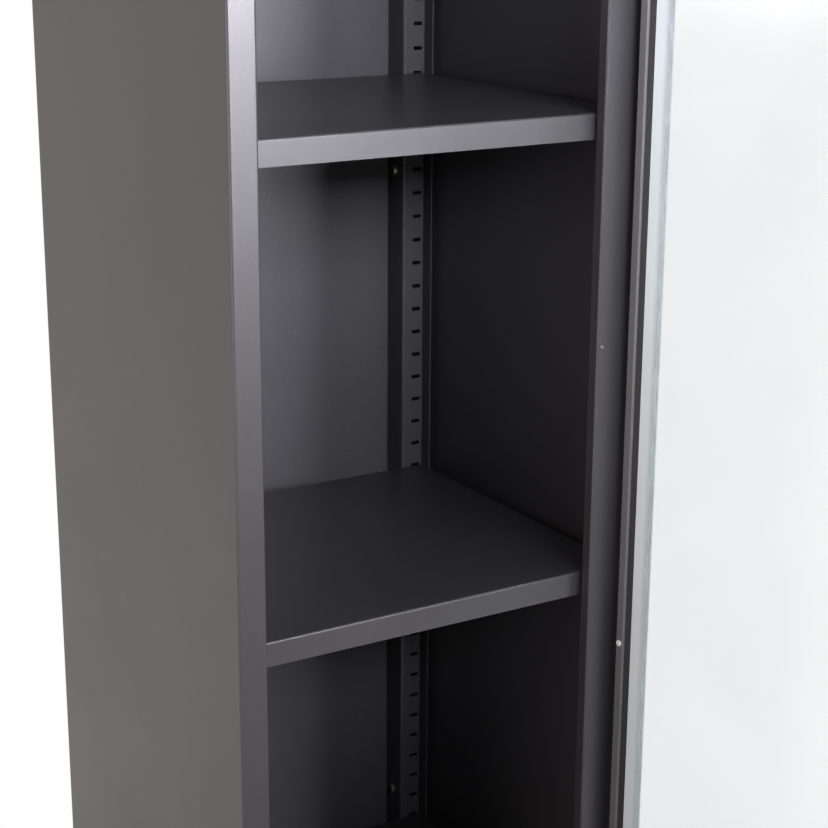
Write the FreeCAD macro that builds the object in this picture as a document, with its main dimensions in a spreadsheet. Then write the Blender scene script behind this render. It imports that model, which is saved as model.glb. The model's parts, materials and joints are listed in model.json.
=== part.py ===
"""Tall storage cabinet of folded sheet steel with a glazed door on pivot pins.

Case sketches are drawn from the left outer face (x), the front plane (y) and each piece's own foot (z).
Door sketches are drawn from the hinge edge (x), the inner face (y) and the door's lower edge (z).
The row frame has its origin on the floor, at the middle of the base's front hem, with the front facing -Y.
"""
import FreeCAD, Part
import Sketcher
import os
import re

SIZES = [
    ("width", 420, "case, outside"),
    ("depth", 410, "case, outside"),
    ("height", 1800, "case, outside"),
    ("sheet", 1.2, "sheet thickness"),
    ("bend", 2.2, "outer radius of a fold"),
    ("base_high", 65, "base tray"),
    ("base_hem", 30, "folded hem the base stands on"),
    ("top_high", 30, "top tray"),
    ("top_hem", 12, "folded hem of the top tray"),
    ("post_face", 26, "lock-side front post, width"),
    ("hinge_face", 59.5, "hinge-side front post, width"),
    ("post_deep", 13, "front posts, depth"),
    ("post_tail", 8, "from the wall to the slotted flange's free edge"),
    ("rear_turn", 35.3, "rear return of a side panel, width"),
    ("rear_lip", 28, "forward lip of the rear return"),
    ("upright_face", 25.5, "slotted face of a rear upright, width"),
    ("upright_in", 39, "slotted face of a rear upright, from the rear"),
    ("upright_foot", 21, "outer leg of a rear upright, depth"),
    ("pan_in", 24, "back panel's raised field, from the rear"),
    ("pan_edge", 45.5, "back panel's raised field, from the side"),
    ("pan_flange", 25, "back panel's rear flange, width"),
    ("slot_pitch", 25, "shelf slots"),
    ("slot_wide", 10, "shelf slots"),
    ("slot_high", 4, "shelf slots"),
    ("slot_first", 265, "lowest slot, from the floor"),
    ("slot_rest", 250, "highest slot, from the top tray at least"),
    ("slot_in", 20, "rear slot centres, from the side"),
    ("front_slot_in", 16.5, "front slot centres, from the side"),
    ("shelf_low", 490, "top of the lower shelf"),
    ("shelf_step", 425, "shelf to shelf"),
    ("shelf_side", 12, "shelf edge, from the side"),
    ("shelf_front", 16, "shelf lip, from the front"),
    ("shelf_in", 40, "shelf's rear edge, from the rear"),
    ("shelf_lip", 23, "shelf lip, height"),
    ("shelf_hem", 14, "folded hem under the shelf"),
    ("clip_wide", 8, "shelf clip"),
    ("clip_thick", 2, "shelf clip"),
    ("clip_ledge", 16, "shelf clip, reach under the shelf"),
    ("clip_drop", 14, "shelf clip, bearing plate"),
    ("clip_hook", 9, "shelf clip, depth of the hook"),
    ("screw_low", 519, "lower upright screw, from the floor"),
    ("screw_top", 562, "upper upright screw, from the top"),
    ("screw_in", 20, "upright screws, from the rear"),
    ("screw_head", 11.5, "upright screws, head diameter"),
    ("screw_high", 3.45, "upright screws, head height"),
    ("screw_shank", 6, "upright screws, shank diameter"),
    ("screw_long", 9, "upright screws, shank length"),
    ("stiffener_wide", 28, "channel inside the hinge post"),
    ("rivet_head", 4.6, "post rivets, head diameter"),
    ("rivet_high", 1.15, "post rivets, head height"),
    ("rivet_in", 5, "post rivets, from the post's inner edge"),
    ("rivet_low", 133.5, "lowest post rivet, from the floor"),
    ("rivet_rest", 300, "case height less the post rivets' span"),
    ("buffer_wide", 8, "rubber buffers, diameter"),
    ("buffer_in", 6, "rubber buffers, from the post's inner edge"),
    ("buffer_rise", 180, "rubber buffers, from the base and from the top tray"),
    ("door_foot", 45, "door's lower edge, from the floor"),
    ("door_top", 35, "door's upper edge, from the top"),
    ("door_deep", 20, "door"),
    ("door_gap", 1.5, "closed door to the posts"),
    ("door_open", 100, "degrees open at rest"),
    ("pivot_in", 5, "pivot axis, from the door's hinge edge"),
    ("pivot_deep", 12, "pivot axis, from the door's inner face"),
    ("pivot_side", 21.2, "pivot axis, from the case's side"),
    ("stile_face", 6.2, "hinge stile, inner face"),
    ("stile_flange", 22, "hinge stile, outer flange"),
    ("lock_face", 52, "lock stile, inner face"),
    ("lock_flange", 62, "lock stile, outer flange"),
    ("rail_face", 22, "rails, inner face"),
    ("rail_flange", 30, "rails, outer flange"),
    ("rail_ledge", 11, "rails, glazing ledge"),
    ("glass_thick", 4.5, "glass pane"),
    ("glass_face", 7.5, "glass pane, from the door's inner face"),
    ("glass_gap", 0.4, "round the pane"),
    ("bead_leg", 5.6, "glazing beads, leg on the frame"),
    ("bead_thick", 2, "glazing beads"),
    ("bead_soft", 1, "rounding of the beads"),
    ("bead_screw_in", 3, "bead screws, from the bead's outer edge"),
    ("bead_screw_head", 6, "bead screws, head diameter"),
    ("bead_screw_high", 0.8, "bead screws, head height"),
    ("bead_screw_low", 183, "lowest side bead screw, from the door's lower edge"),
    ("bead_screw_rest", 480, "door height less the side bead screws' span"),
    ("pin_wide", 6, "pivot pins, diameter"),
    ("pin_reach", 14, "pivot pins, into the door"),
    ("pin_head", 10, "pivot pins, head diameter"),
    ("running", 0.05, "radial clearance of turning parts"),
    ("bush_wall", 0.95, "pivot bushes"),
    ("bush_flange", 2, "pivot bushes, flange thickness"),
    ("bush_rim", 14, "pivot bushes, flange diameter"),
    ("bush_long", 6, "pivot bushes, sleeve"),
    ("bracket_thick", 3, "pivot brackets"),
    ("bracket_wide", 28, "pivot brackets"),
    ("bracket_leg", 26, "pivot brackets, leg on the case"),
    ("lift_gap", 0.5, "upper bush to the upper bracket"),
    ("lock_high", 975, "lock axis, from the door's lower edge"),
    ("lock_in", 28, "lock axis, from the lock edge"),
    ("barrel_rim", 34, "lock barrel, flange diameter"),
    ("barrel_cap", 4, "lock barrel, flange thickness"),
    ("barrel_wide", 18, "lock barrel, body diameter"),
    ("nut_wide", 24, "barrel nut, across flats"),
    ("nut_thick", 4, "barrel nut"),
    ("spindle_wide", 10, "handle spindle, diameter"),
    ("handle_hub", 24, "turn handle, hub diameter"),
    ("handle_high", 10, "turn handle, hub height"),
    ("handle_long", 70, "turn handle, wing length"),
    ("handle_thick", 12, "turn handle, wing thickness"),
    ("handle_stand", 16, "turn handle, wing height"),
    ("cam_gap", 1, "cam to the post's slotted flange"),
    ("cam_thick", 3, "lock cam"),
    ("cam_wide", 16, "lock cam"),
    ("cam_reach", 31, "lock cam, axis to tip"),
]

DERIVED = [
    ("upright_front", "depth - upright_in", "slotted face of a rear upright, from the front"),
    ("pan_front", "depth - pan_in", "back panel's raised field, from the front"),
    ("shelf_back", "depth - shelf_in", "shelf's rear edge, from the front"),
    ("screw_back", "depth - screw_in", "upright screws, from the front"),
    ("screw_step", "height - screw_top - screw_low", "upright screws"),
    ("rivet_step", "(height - rivet_rest) / 3", "post rivets"),
    ("slot_count", "floor((height - top_high - slot_rest - slot_first) / slot_pitch) + 1", "slots in a row"),
    ("door_high", "height - door_foot - door_top", "door"),
    ("door_wide", "width - 2 * (pivot_side - pivot_in)", "door, as far from one side as from the other"),
    ("bead_screw_step", "(height - door_foot - door_top - bead_screw_rest) / 2", "side bead screws"),
]

doc = FreeCAD.newDocument("TallCabinet")
sheet = doc.addObject("Spreadsheet::Sheet", "Sizes")
rows = SIZES + [(alias, "=" + formula, note) for alias, formula, note in DERIVED]
for row, (alias, size, note) in enumerate(rows, start=1):
    sheet.set(f"A{row}", f"{alias.replace('_', ' ')}: {note}")
    sheet.set(f"B{row}", str(size))
    sheet.setAlias(f"B{row}", alias)
doc.recompute()
ALIASES = {alias for alias, size, note in rows}
parts = []


def cells(text):
    """Expression text with every size name turned into its cell."""
    return re.sub(r"[a-z_]+", lambda word: "Sizes." + word[0] if word[0] in ALIASES else word[0], text)


def value(text):
    """Present value of an expression in size names."""
    return float(sheet.evalExpression(cells(text)))


def bind(thing, field, text):
    thing.setExpression(field, cells(text))


def new_body(label):
    body = doc.addObject("PartDesign::Body", label)
    body.Label = label
    return body


def new_sketch(body, role, lift="0"):
    """Empty sketch on one of the body's own origin planes, moved along that plane's normal."""
    sketch = body.newObject("Sketcher::SketchObject", body.Name + "_sketch")
    plane = next(item for item in body.Origin.OriginFeatures if item.Role == role)
    sketch.AttachmentSupport = [(plane, "")]
    sketch.MapMode = "FlatFace"
    bind(sketch, "AttachmentOffset.Base.z", lift)
    return sketch


def pin_point(sketch, geometry, end, place):
    """Tie one point of the sketch to the sketch origin by two bound distances."""
    for kind, text in zip(("DistanceX", "DistanceY"), place):
        index = sketch.addConstraint(Sketcher.Constraint(kind, -1, 1, geometry, end, value(text)))
        bind(sketch, f"Constraints[{index}]", text)


def outline(body, role, corners, lift="0"):
    """Closed sketch of straight lines through corners, each a pair of expressions."""
    sketch = new_sketch(body, role, lift)
    points = [FreeCAD.Vector(value(x), value(y), 0) for x, y in corners]
    count = len(points)
    for i in range(count):
        sketch.addGeometry(Part.LineSegment(points[i], points[(i + 1) % count]))
    for i in range(count):
        sketch.addConstraint(Sketcher.Constraint("Coincident", i, 2, (i + 1) % count, 1))
    for i in range(count):
        pin_point(sketch, i, 1, corners[i])
    return sketch


def ring(body, role, centre, diameter, lift="0"):
    """Sketch of one circle."""
    sketch = new_sketch(body, role, lift)
    middle = FreeCAD.Vector(value(centre[0]), value(centre[1]), 0)
    sketch.addGeometry(Part.Circle(middle, FreeCAD.Vector(0, 0, 1), value(diameter) / 2))
    index = sketch.addConstraint(Sketcher.Constraint("Diameter", 0, value(diameter)))
    bind(sketch, f"Constraints[{index}]", diameter)
    pin_point(sketch, 0, 3, centre)
    return sketch


def box(left, front, right, rear):
    return [(left, front), (right, front), (right, rear), (left, rear)]


def pad(body, sketch, length, down=False):
    feature = body.newObject("PartDesign::Pad", body.Name + "_pad")
    feature.Profile = sketch
    bind(feature, "Length", length)
    feature.Reversed = down
    sketch.Visibility = False
    doc.recompute()
    return feature


def cut(body, sketch, length, up=False):
    """Pocket against the sketch's normal, or along it when up is set. It must take material away."""
    before = body.Shape.Volume
    feature = body.newObject("PartDesign::Pocket", body.Name + "_cut")
    feature.Profile = sketch
    bind(feature, "Length", length)
    feature.Reversed = up
    doc.recompute()
    if body.Shape.Volume >= before:
        raise ValueError(f"{body.Label}: a pocket cuts nothing")
    return feature


def row_up(body, feature, count, pitch):
    """Repeat a feature upwards at a pitch."""
    pattern = body.newObject("PartDesign::LinearPattern", body.Name + "_row")
    pattern.Originals = [feature]
    axis = next(item for item in body.Origin.OriginFeatures if item.Role == "Z_Axis")
    pattern.Direction = (axis, [""])
    pattern.Mode = "Spacing"
    bind(pattern, "Occurrences", count)
    bind(pattern, "Offset", pitch)
    body.Tip = pattern
    doc.recompute()
    return pattern


def round_edges(body, radius, wanted):
    """Fillet every straight edge whose two ends satisfy the test."""
    base = body.Tip
    names = []
    for number, edge in enumerate(base.Shape.Edges, start=1):
        if isinstance(edge.Curve, Part.Line) and wanted(*[vertex.Point for vertex in edge.Vertexes]):
            names.append(f"Edge{number}")
    feature = body.newObject("PartDesign::Fillet", body.Name + "_round")
    feature.Base = (base, names)
    bind(feature, "Radius", radius)
    doc.recompute()
    return feature


def near(first, second):
    return abs(first - second) < 1e-4


def folded(path, side):
    """Outline of a sheet folded at right angles along a path, and its outer and inner corners.

    The path is one face of the sheet, and the thickness lies on its left (side 1) or right (side -1).
    """
    points = [(value(x), value(y)) for x, y in path]
    runs = []
    for (x0, y0), (x1, y1) in zip(points, points[1:]):
        length = abs(x1 - x0) + abs(y1 - y0)
        runs.append((round((x1 - x0) / length), round((y1 - y0) / length)))
    normals = [(-dy * side, dx * side) for dx, dy in runs]
    other = []
    outer = []
    inner = []
    for i, (x, y) in enumerate(path):
        beside = normals[max(i - 1, 0):i + 1] if 0 < i < len(runs) else [normals[min(i, len(runs) - 1)]]
        shift_x = sum(n[0] for n in beside)
        shift_y = sum(n[1] for n in beside)
        moved = (f"{x} + {shift_x} * sheet", f"{y} + {shift_y} * sheet")
        other.append(moved)
        if len(beside) == 2:
            turn = (runs[i - 1][0] * runs[i][1] - runs[i - 1][1] * runs[i][0]) * side
            outer.append((x, y) if turn > 0 else moved)
            inner.append(moved if turn > 0 else (x, y))
    return path + other[::-1], outer, inner


def folded_sheet(label, role, path, side, length, lift="0"):
    """Body of a sheet folded along a path and run along the normal of its sketch plane."""
    body = new_body(label)
    corners, outer, inner = folded(path, side)
    pad(body, outline(body, role, corners, lift), length)
    across = (0, 1) if role == "XY_Plane" else (1, 2)
    for radius, bends in (("bend", outer), ("bend - sheet", inner)):
        spots = [(value(x), value(y)) for x, y in bends]

        def on_bend(start, end):
            same = all(near(start[axis], end[axis]) for axis in across)
            at = any(near(start[across[0]], x) and near(start[across[1]], y) for x, y in spots)
            return same and at

        round_edges(body, radius, on_bend)
    return body


def tray(label, edges, lip, hem, soft):
    """Pressed tray with its flat face up at z = 0, folded lips all round and hems turned in below."""
    left, front, right, rear = edges
    body = new_body(label)
    pad(body, outline(body, "XY_Plane", box(left, front, right, rear)), lip, down=True)
    inside = box(f"{left} + sheet", f"{front} + sheet", f"{right} - sheet", f"{rear} - sheet")
    mouth = box(f"{left} + {hem}", f"{front} + {hem}", f"{right} - {hem}", f"{rear} - {hem}")
    cut(body, outline(body, "XY_Plane", inside, "-sheet"), f"{lip} - 2 * sheet")
    cut(body, outline(body, "XY_Plane", mouth, f"sheet - {lip}"), "sheet")
    sides = (value(left), value(right))
    ends = (value(front), value(rear))

    def on_rim(start, end):
        outside = [any(near(p[0], x) for x in sides) and any(near(p[1], y) for y in ends) for p in (start, end)]
        upright = near(start[0], end[0]) and near(start[1], end[1])
        on_top = near(start[2], 0) and near(end[2], 0)
        return all(outside) and (upright or on_top)

    round_edges(body, soft, on_rim)
    return body


def lathe(label, corners):
    """Turned body: corners are (radius, height) pairs, turned about z."""
    body = new_body(label)
    sketch = outline(body, "XZ_Plane", corners)
    feature = body.newObject("PartDesign::Revolution", label + "_turn")
    feature.Profile = sketch
    feature.ReferenceAxis = (sketch, ["V_Axis"])
    feature.Angle = 360
    doc.recompute()
    return body


def in_case(body, rise):
    """Stand a case piece in the row frame with its foot at a height above the floor."""
    bind(body, "Placement.Base.x", "-width / 2")
    bind(body, "Placement.Base.y", "-base_hem / 2")
    bind(body, "Placement.Base.z", rise)
    parts.append(body)
    return body


def case_place(x, y, z, axis=FreeCAD.Vector(0, 0, 1), angle=0):
    """Placement in the row frame of a point given in case sizes."""
    point = FreeCAD.Vector(value(x) - value("width") / 2, value(y) - value("base_hem") / 2, value(z))
    return FreeCAD.Placement(point, FreeCAD.Rotation(axis, angle))


def door_place(x, y, z, axis=FreeCAD.Vector(0, 0, 1), angle=0):
    """Placement in the row frame of a point given in door sizes, with the door standing open."""
    turn = 180 + value("door_open")
    pivot = case_place("width - pivot_side", "-door_gap - pivot_deep", "door_foot", angle=turn)
    arm = FreeCAD.Vector(value(x) - value("pivot_in"), value(y) - value("pivot_deep"), value(z))
    return pivot.multiply(FreeCAD.Placement(arm, FreeCAD.Rotation(axis, angle)))


def on_door(body, z="0"):
    """Hang a door piece on the open door."""
    body.Placement = door_place("0", "0", z)
    parts.append(body)
    return body


def group(label, master, places):
    """One node of like solids, each a copy of the master at its own place."""
    copies = []
    for place in places:
        solid = master.Shape.copy()
        solid.Placement = place
        copies.append(solid)
    feature = doc.addObject("Part::Feature", label)
    feature.Label = label
    feature.Shape = Part.makeCompound(copies)
    feature.Placement = FreeCAD.Placement()
    parts.append(feature)
    return feature


X_AXIS = FreeCAD.Vector(1, 0, 0)
Y_AXIS = FreeCAD.Vector(0, 1, 0)
Z_AXIS = FreeCAD.Vector(0, 0, 1)
CASE_HIGH = "height - base_high - top_high"
SLOT_LOW = "slot_first - base_high"


def slot_row(body, centre, face, up):
    """Row of shelf slots through the sheet at a face seen from the front."""
    left = f"{centre} - slot_wide / 2"
    right = f"{centre} + slot_wide / 2"
    low = f"{SLOT_LOW} - slot_high / 2"
    high = f"{SLOT_LOW} + slot_high / 2"
    sketch = outline(body, "XZ_Plane", box(left, low, right, high), f"-({face})")
    slot = cut(body, sketch, "2 * sheet", up)
    row_up(body, slot, "slot_count", "slot_pitch")


def screw_holes(body, leg_face, up):
    """Clearance holes for the upright screws through a leg that faces the cabinet's middle."""
    centre = ("screw_back", "screw_low - base_high")
    hole = cut(body, ring(body, "YZ_Plane", centre, "screw_shank + 4 * running", leg_face), "sheet", up)
    row_up(body, hole, "2", "screw_step")


def side_panel(label, hand, post):
    """Side wall with its box-folded front post, slotted flange and rear return. Hand 1 is the left side."""
    def across(text):
        return text if hand == 1 else f"width - ({text})"

    path = [
        (across("rear_turn"), "depth - sheet - rear_lip"),
        (across("rear_turn"), "depth - sheet"),
        (across("0"), "depth - sheet"),
        (across("0"), "0"),
        (across(post), "0"),
        (across(post), "post_deep"),
        (across("post_tail"), "post_deep"),
    ]
    body = folded_sheet(label, "XY_Plane", path, hand, CASE_HIGH)
    slot_row(body, across("front_slot_in"), "post_deep", up=True)
    screw_holes(body, across("rear_turn"), up=hand == -1)
    return in_case(body, "base_high")


def rear_upright(label, hand):
    """Slotted upright: inner leg screwed to the rear lip, slotted face, outer leg, wing and wall flange."""
    def across(text):
        return text if hand == 1 else f"width - ({text})"

    inner = "rear_turn + sheet"
    outer = "rear_turn + sheet - upright_face"
    path = [
        (across(inner), "depth - 2 * sheet"),
        (across(inner), "upright_front"),
        (across(outer), "upright_front"),
        (across(outer), "upright_front + upright_foot"),
        (across("2 * sheet"), "upright_front + upright_foot"),
        (across("2 * sheet"), "upright_front"),
    ]
    body = folded_sheet(label, "XY_Plane", path, -hand, CASE_HIGH)
    slot_row(body, across("slot_in"), "upright_front", up=False)
    screw_holes(body, across(inner), up=hand == -1)
    return in_case(body, "base_high")


def back_panel():
    """Back panel: a raised field between folds, with flanges behind the side panels' rear returns."""
    path = [
        ("pan_edge - pan_flange", "depth - sheet"),
        ("pan_edge", "depth - sheet"),
        ("pan_edge", "pan_front"),
        ("width - pan_edge", "pan_front"),
        ("width - pan_edge", "depth - sheet"),
        ("width - pan_edge + pan_flange", "depth - sheet"),
    ]
    in_case(folded_sheet("back_panel", "XY_Plane", path, 1, CASE_HIGH), "base_high")


def hinge_post_stiffener():
    """Channel inside the hinge post that takes the post rivets."""
    left = "width - hinge_face + 2 * sheet"
    right = f"{left} + stiffener_wide"
    path = [(left, "post_deep - sheet"), (left, "sheet"), (right, "sheet"), (right, "post_deep - sheet")]
    body = folded_sheet("hinge_post_stiffener", "XY_Plane", path, 1, CASE_HIGH)
    in_case(body, "base_high")


def case_shell():
    """Base tray, side panels, back panel, uprights and top tray."""
    plan = ("0", "0", "width", "depth")
    in_case(tray("base_tray", plan, "base_high", "base_hem", "sheet"), "base_high")
    side_panel("left_side_panel", 1, "post_face")
    side_panel("right_side_panel", -1, "hinge_face")
    back_panel()
    rear_upright("left_rear_upright", 1)
    rear_upright("right_rear_upright", -1)
    hinge_post_stiffener()
    in_case(tray("top_tray", plan, "top_high", "top_hem", "sheet"), "height")


def shelf_clip():
    """Pressed clip: ledge under the shelf, bearing plate on the slotted face, tongue and hook behind it."""
    body = new_body("shelf_clip")
    hook_front = "-sheet - 4 * running"
    hook_rear = f"{hook_front} - clip_thick"
    corners = [
        ("clip_ledge", "0"),
        ("clip_ledge", "-clip_thick"),
        ("clip_thick", "-clip_thick"),
        ("clip_thick", "-clip_drop"),
        ("0", "-clip_drop"),
        ("0", "-slot_high"),
        (hook_front, "-slot_high"),
        (hook_front, "-clip_hook"),
        (hook_rear, "-clip_hook"),
        (hook_rear, "-clip_thick"),
        ("0", "-clip_thick"),
        ("0", "0"),
    ]
    pad(body, outline(body, "YZ_Plane", corners, "-clip_wide / 2"), "clip_wide")
    return body


def shelves():
    """Three shelves, each on four clips hooked into the slots."""
    clip = shelf_clip()
    for number, name in enumerate(("lower", "middle", "upper")):
        top = f"shelf_low + {number} * shelf_step"
        edges = ("shelf_side", "shelf_front", "width - shelf_side", "shelf_back")
        in_case(tray(f"{name}_shelf", edges, "shelf_lip", "shelf_hem", "bend"), top)
        ledge = f"{top} - shelf_lip"
        places = []
        for front_x, rear_x in (("front_slot_in", "slot_in"), ("width - front_slot_in", "width - slot_in")):
            places.append(case_place(front_x, "post_deep", ledge))
            places.append(case_place(rear_x, "upright_front", ledge, Z_AXIS, 180))
        group(f"{name}_shelf_clips", clip, places)


def upright_screw():
    """Pan-head screw: head above z = 0, shank below."""
    return lathe("upright_screw", [
        ("0", "-screw_long"),
        ("screw_shank / 2", "-screw_long"),
        ("screw_shank / 2", "0"),
        ("screw_head / 2", "0"),
        ("screw_head / 2 - screw_high / 2", "screw_high"),
        ("0", "screw_high"),
    ])


def low_head(label, wide, high):
    """Set head of a rivet or a bead screw, seated on z = 0."""
    return lathe(label, [("0", "0"), (f"{wide} / 2", "0"), (f"{wide} / 2 - {high} / 2", high), ("0", high)])


def case_fasteners():
    """Upright screws, post rivets and the rubber buffers on the lock-side post."""
    screw = upright_screw()
    places = []
    for step in range(2):
        z = f"screw_low + {step} * screw_step"
        places.append(case_place("rear_turn + sheet", "screw_back", z, Y_AXIS, 90))
        places.append(case_place("width - rear_turn - sheet", "screw_back", z, Y_AXIS, -90))
    group("upright_screws", screw, places)
    rivet = low_head("post_rivet", "rivet_head", "rivet_high")
    x = "width - hinge_face + rivet_in"
    places = [case_place(x, "0", f"rivet_low + {step} * rivet_step", X_AXIS, 90) for step in range(4)]
    group("post_rivets", rivet, places)
    buffer = lathe("door_buffer", box("0", "0", "buffer_wide / 2", "door_gap + bead_thick - 2 * running"))
    heights = ("base_high + buffer_rise", "height - top_high - buffer_rise")
    places = [case_place("post_face - buffer_in", "0", z, X_AXIS, 90) for z in heights]
    group("door_buffers", buffer, places)


def door_frame():
    """Two folded rails of the door's width, and two folded stiles between them over the rails' flanges."""
    stile_long = "door_high - 2 * rail_face"
    path = [
        ("stile_flange", "door_deep"),
        ("0", "door_deep"),
        ("0", "bead_thick"),
        ("stile_face", "bead_thick"),
        ("stile_face", "door_deep - 4 * sheet"),
    ]
    on_door(folded_sheet("hinge_stile", "XY_Plane", path, 1, stile_long), "rail_face")
    path = [
        ("door_wide - lock_flange", "door_deep"),
        ("door_wide", "door_deep"),
        ("door_wide", "bead_thick"),
        ("door_wide - lock_face", "bead_thick"),
        ("door_wide - lock_face", "door_deep - 4 * sheet"),
    ]
    lock_stile = folded_sheet("lock_stile", "XY_Plane", path, -1, stile_long)
    centre = ("door_wide - lock_in", "lock_high - rail_face")
    cut(lock_stile, ring(lock_stile, "XZ_Plane", centre, "barrel_wide + 4 * running"), "door_deep")
    on_door(lock_stile, "rail_face")
    for name, way, foot in (("bottom", 1, "0"), ("top", -1, "door_high")):
        path = [
            ("door_deep - sheet", f"{way} * rail_flange"),
            ("door_deep - sheet", "0"),
            ("bead_thick", "0"),
            ("bead_thick", f"{way} * rail_face"),
            ("rail_ledge", f"{way} * rail_face"),
        ]
        rail = folded_sheet(f"{name}_rail", "YZ_Plane", path, -way, "door_wide")
        bore = ring(rail, "XY_Plane", ("pivot_in", "pivot_deep"), "pin_wide + 4 * running + 2 * bush_wall")
        cut(rail, bore, "sheet", up=way == 1)
        for end in ("0", "door_wide - 2 * sheet"):
            notch = box(end, f"{way} * rail_face", f"{end} + 2 * sheet", f"{way} * rail_flange")
            cut(rail, outline(rail, "XZ_Plane", notch, "-door_deep"), "3 * sheet", up=True)
        on_door(rail, foot)


def glazing():
    """Glass pane, its rubber gasket and the four beads that hold it."""
    left = "stile_face + glass_gap"
    right = "door_wide - lock_face - glass_gap"
    low = "rail_face + glass_gap"
    high = "door_high - rail_face - glass_gap"
    glass_rear = "glass_face + glass_thick"
    pane = new_body("glass_pane")
    pad(pane, outline(pane, "XZ_Plane", box(left, low, right, high), "-glass_face"), "glass_thick", down=True)
    on_door(pane)
    gasket = new_body("glazing_gasket")
    sketch = outline(gasket, "XZ_Plane", box(left, low, right, high), f"-({glass_rear})")
    pad(gasket, sketch, f"door_deep - 2 * sheet - ({glass_rear})", down=True)
    clear = box("stile_flange - bend", "rail_flange - bend", "door_wide - lock_flange + bend",
                "door_high - rail_flange + bend")
    cut(gasket, outline(gasket, "XZ_Plane", clear, f"-({glass_rear})"), "door_deep")
    on_door(gasket)
    upright = "door_high - 2 * rail_face"
    level = "door_wide - lock_face - stile_face - 2 * bead_thick"
    for label, plane, near_side, way, run, start in (
        ("hinge_bead", "XY_Plane", "stile_face", 1, upright, "rail_face"),
        ("lock_bead", "XY_Plane", "door_wide - lock_face", -1, upright, "rail_face"),
        ("bottom_bead", "YZ_Plane", "rail_face", 1, level, "stile_face + bead_thick"),
        ("top_bead", "YZ_Plane", "door_high - rail_face", -1, level, "stile_face + bead_thick"),
    ):
        bead(label, plane, near_side, way, run, start)


def bead(label, plane, near_side, way, run, start):
    """Glazing bead: an angle with one leg on the frame and one down to the glass, its outer corner rounded."""
    far = f"{near_side} + {way} * bead_thick"
    edge = f"{near_side} - {way} * bead_leg"
    corners = [
        (edge, "0"),
        (far, "0"),
        (far, "glass_face"),
        (near_side, "glass_face"),
        (near_side, "bead_thick"),
        (edge, "bead_thick"),
    ]
    if plane == "YZ_Plane":
        corners = [(y, x) for x, y in corners]
    body = new_body(label)
    pad(body, outline(body, plane, corners, start), run)
    across = 0 if plane == "XY_Plane" else 2

    def outer_corner(start_point, end_point):
        return all(near(p[across], value(far)) and near(p[1], 0) for p in (start_point, end_point))

    round_edges(body, "bead_soft", outer_corner)
    on_door(body)


def bead_screws():
    """Three screws up each side bead and one in the middle of each of the others, on the door's inner side."""
    hinge_x = "stile_face - bead_leg + bead_screw_in"
    lock_x = "door_wide - lock_face + bead_leg - bead_screw_in"
    low_z = "rail_face - bead_leg + bead_screw_in"
    high_z = "door_high - rail_face + bead_leg - bead_screw_in"
    rises = [f"bead_screw_low + {step} * bead_screw_step" for step in range(3)]
    middle_x = "(stile_face + door_wide - lock_face) / 2"
    spots = [(x, z) for x in (hinge_x, lock_x) for z in rises] + [(middle_x, low_z), (middle_x, high_z)]
    screw = low_head("bead_screw", "bead_screw_head", "bead_screw_high")
    group("bead_screws", screw, [door_place(x, "0", z, X_AXIS, 90) for x, z in spots])


def pivots():
    """Brackets on the case, pins in the brackets and nylon bushes in the door's rails."""
    pivot_x = "width - pivot_side"
    pivot_y = "-door_gap - pivot_deep"
    front = "-door_gap - door_deep"
    plates = (
        ("lower", 1, "door_foot - bush_flange"),
        ("upper", -1, "door_foot + door_high + bush_flange + lift_gap"),
    )
    for name, way, seat in plates:
        corners = [
            ("0", "0"),
            ("0", f"{-way} * bracket_leg"),
            ("-bracket_thick", f"{-way} * bracket_leg"),
            ("-bracket_thick", f"{-way} * bracket_thick"),
            (front, f"{-way} * bracket_thick"),
            (front, "0"),
        ]
        bracket = new_body(f"{name}_pivot_bracket")
        pad(bracket, outline(bracket, "YZ_Plane", corners, f"{pivot_x} - bracket_wide / 2"), "bracket_wide")
        bore = ring(bracket, "XY_Plane", (pivot_x, pivot_y), "pin_wide + 2 * running")
        cut(bracket, bore, "bracket_thick", up=way == -1)
        in_case(bracket, seat)
        pin = lathe(f"{name}_pivot_pin", [
            ("0", "-2 * bracket_thick"),
            ("pin_head / 2", "-2 * bracket_thick"),
            ("pin_head / 2", "-bracket_thick"),
            ("pin_wide / 2", "-bracket_thick"),
            ("pin_wide / 2", "bush_flange + pin_reach - bush_wall"),
            ("pin_wide / 2 - bush_wall", "bush_flange + pin_reach"),
            ("0", "bush_flange + pin_reach"),
        ])
        pin.Placement = case_place(pivot_x, pivot_y, seat, X_AXIS, 0 if way == 1 else 180)
        parts.append(pin)
        bore_edge = "pin_wide / 2 + running"
        bush = lathe(f"{name}_pivot_bush", [
            (bore_edge, "-bush_flange"),
            ("bush_rim / 2", "-bush_flange"),
            ("bush_rim / 2", "0"),
            (f"{bore_edge} + bush_wall", "0"),
            (f"{bore_edge} + bush_wall", "bush_long"),
            (bore_edge, "bush_long"),
        ])
        foot = "0" if way == 1 else "door_high"
        bush.Placement = door_place("pivot_in", "pivot_deep", foot, X_AXIS, 0 if way == 1 else 180)
        parts.append(bush)


def lock_place():
    """Lock axis on the door's inner face: z points out of the door's outer face."""
    return door_place("door_wide - lock_in", "0", "lock_high", X_AXIS, -90)


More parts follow.
